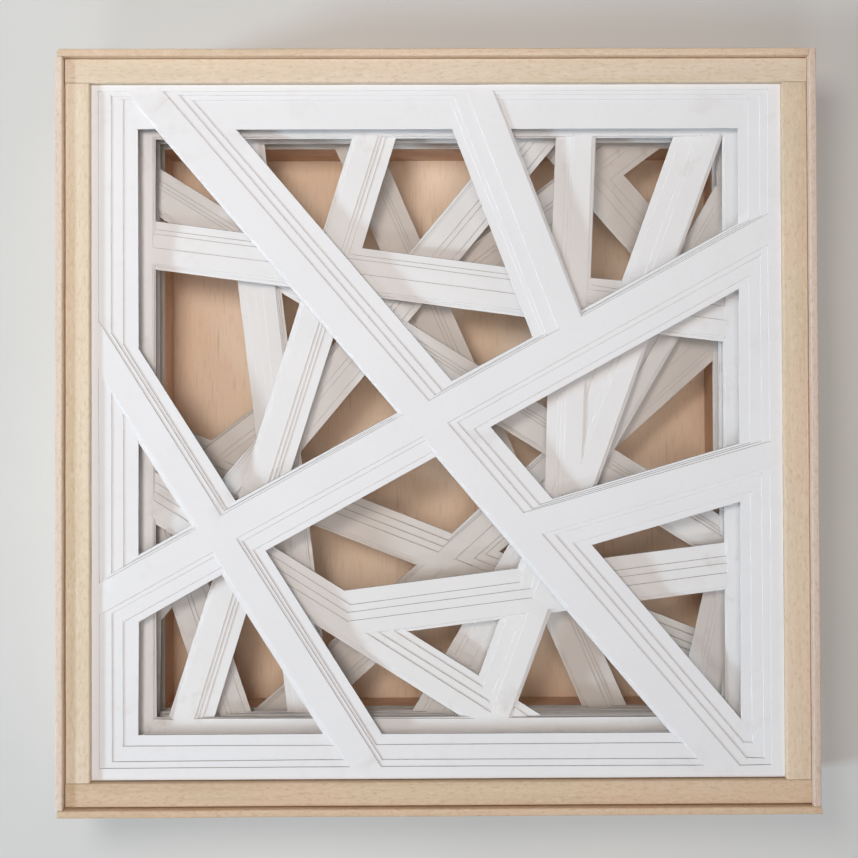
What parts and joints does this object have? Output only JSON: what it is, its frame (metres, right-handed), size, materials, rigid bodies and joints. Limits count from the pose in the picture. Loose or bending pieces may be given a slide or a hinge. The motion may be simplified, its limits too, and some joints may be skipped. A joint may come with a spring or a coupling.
{
  "type": "framed paper strip art",
  "caption": "Shallow square wood frame holding layered white card sheets cut into crossing straight strips, with a plain wood back showing through the gaps.",
  "frame": {"origin": "centre of the flat back, on the surface that it lies on", "axes": "+Z out of the back towards the viewer of the picture, +X to the picture's right, +Y to its top"},
  "size_m": [0.2546, 0.2554, 0.0462],
  "materials": {
    "rail_wood": "bare sanded basswood",
    "ledge_wood": "bare sanded basswood",
    "riser_wood": "bare wood",
    "backing_ply": "bare birch plywood",
    "white_card": "smooth matte white card",
    "spacer_board": "white foam board"
  },
  "bodies": {
    "root": {"backing_panel": "backing_ply", "card_a1": "white_card", "card_a2": "white_card", "card_a3": "white_card", "card_a4": "white_card", "card_b1": "white_card", "card_b2": "white_card", "card_b3": "white_card", "card_b4": "white_card", "card_c1": "white_card", "card_c2": "white_card", "card_c3": "white_card", "card_c4": "white_card", "card_d1": "white_card", "card_d2": "white_card", "card_d3": "white_card", "card_d4": "white_card", "ledge_rail_bottom": "ledge_wood", "ledge_rail_left": "ledge_wood", "ledge_rail_right": "ledge_wood", "ledge_rail_top": "ledge_wood", "outer_rail_bottom": "rail_wood", "outer_rail_left": "rail_wood", "outer_rail_right": "rail_wood", "outer_rail_top": "rail_wood", "riser_bottom": "riser_wood", "riser_left": "riser_wood", "riser_right": "riser_wood", "riser_top": "riser_wood", "spacer_ab_bottom": "spacer_board", "spacer_ab_left": "spacer_board", "spacer_ab_right": "spacer_board", "spacer_ab_top": "spacer_board", "spacer_bc_bottom": "spacer_board", "spacer_bc_left": "spacer_board", "spacer_bc_right": "spacer_board", "spacer_bc_top": "spacer_board", "spacer_cd_bottom": "spacer_board", "spacer_cd_left": "spacer_board", "spacer_cd_right": "spacer_board", "spacer_cd_top": "spacer_board"}
  },
  "joints": []
}
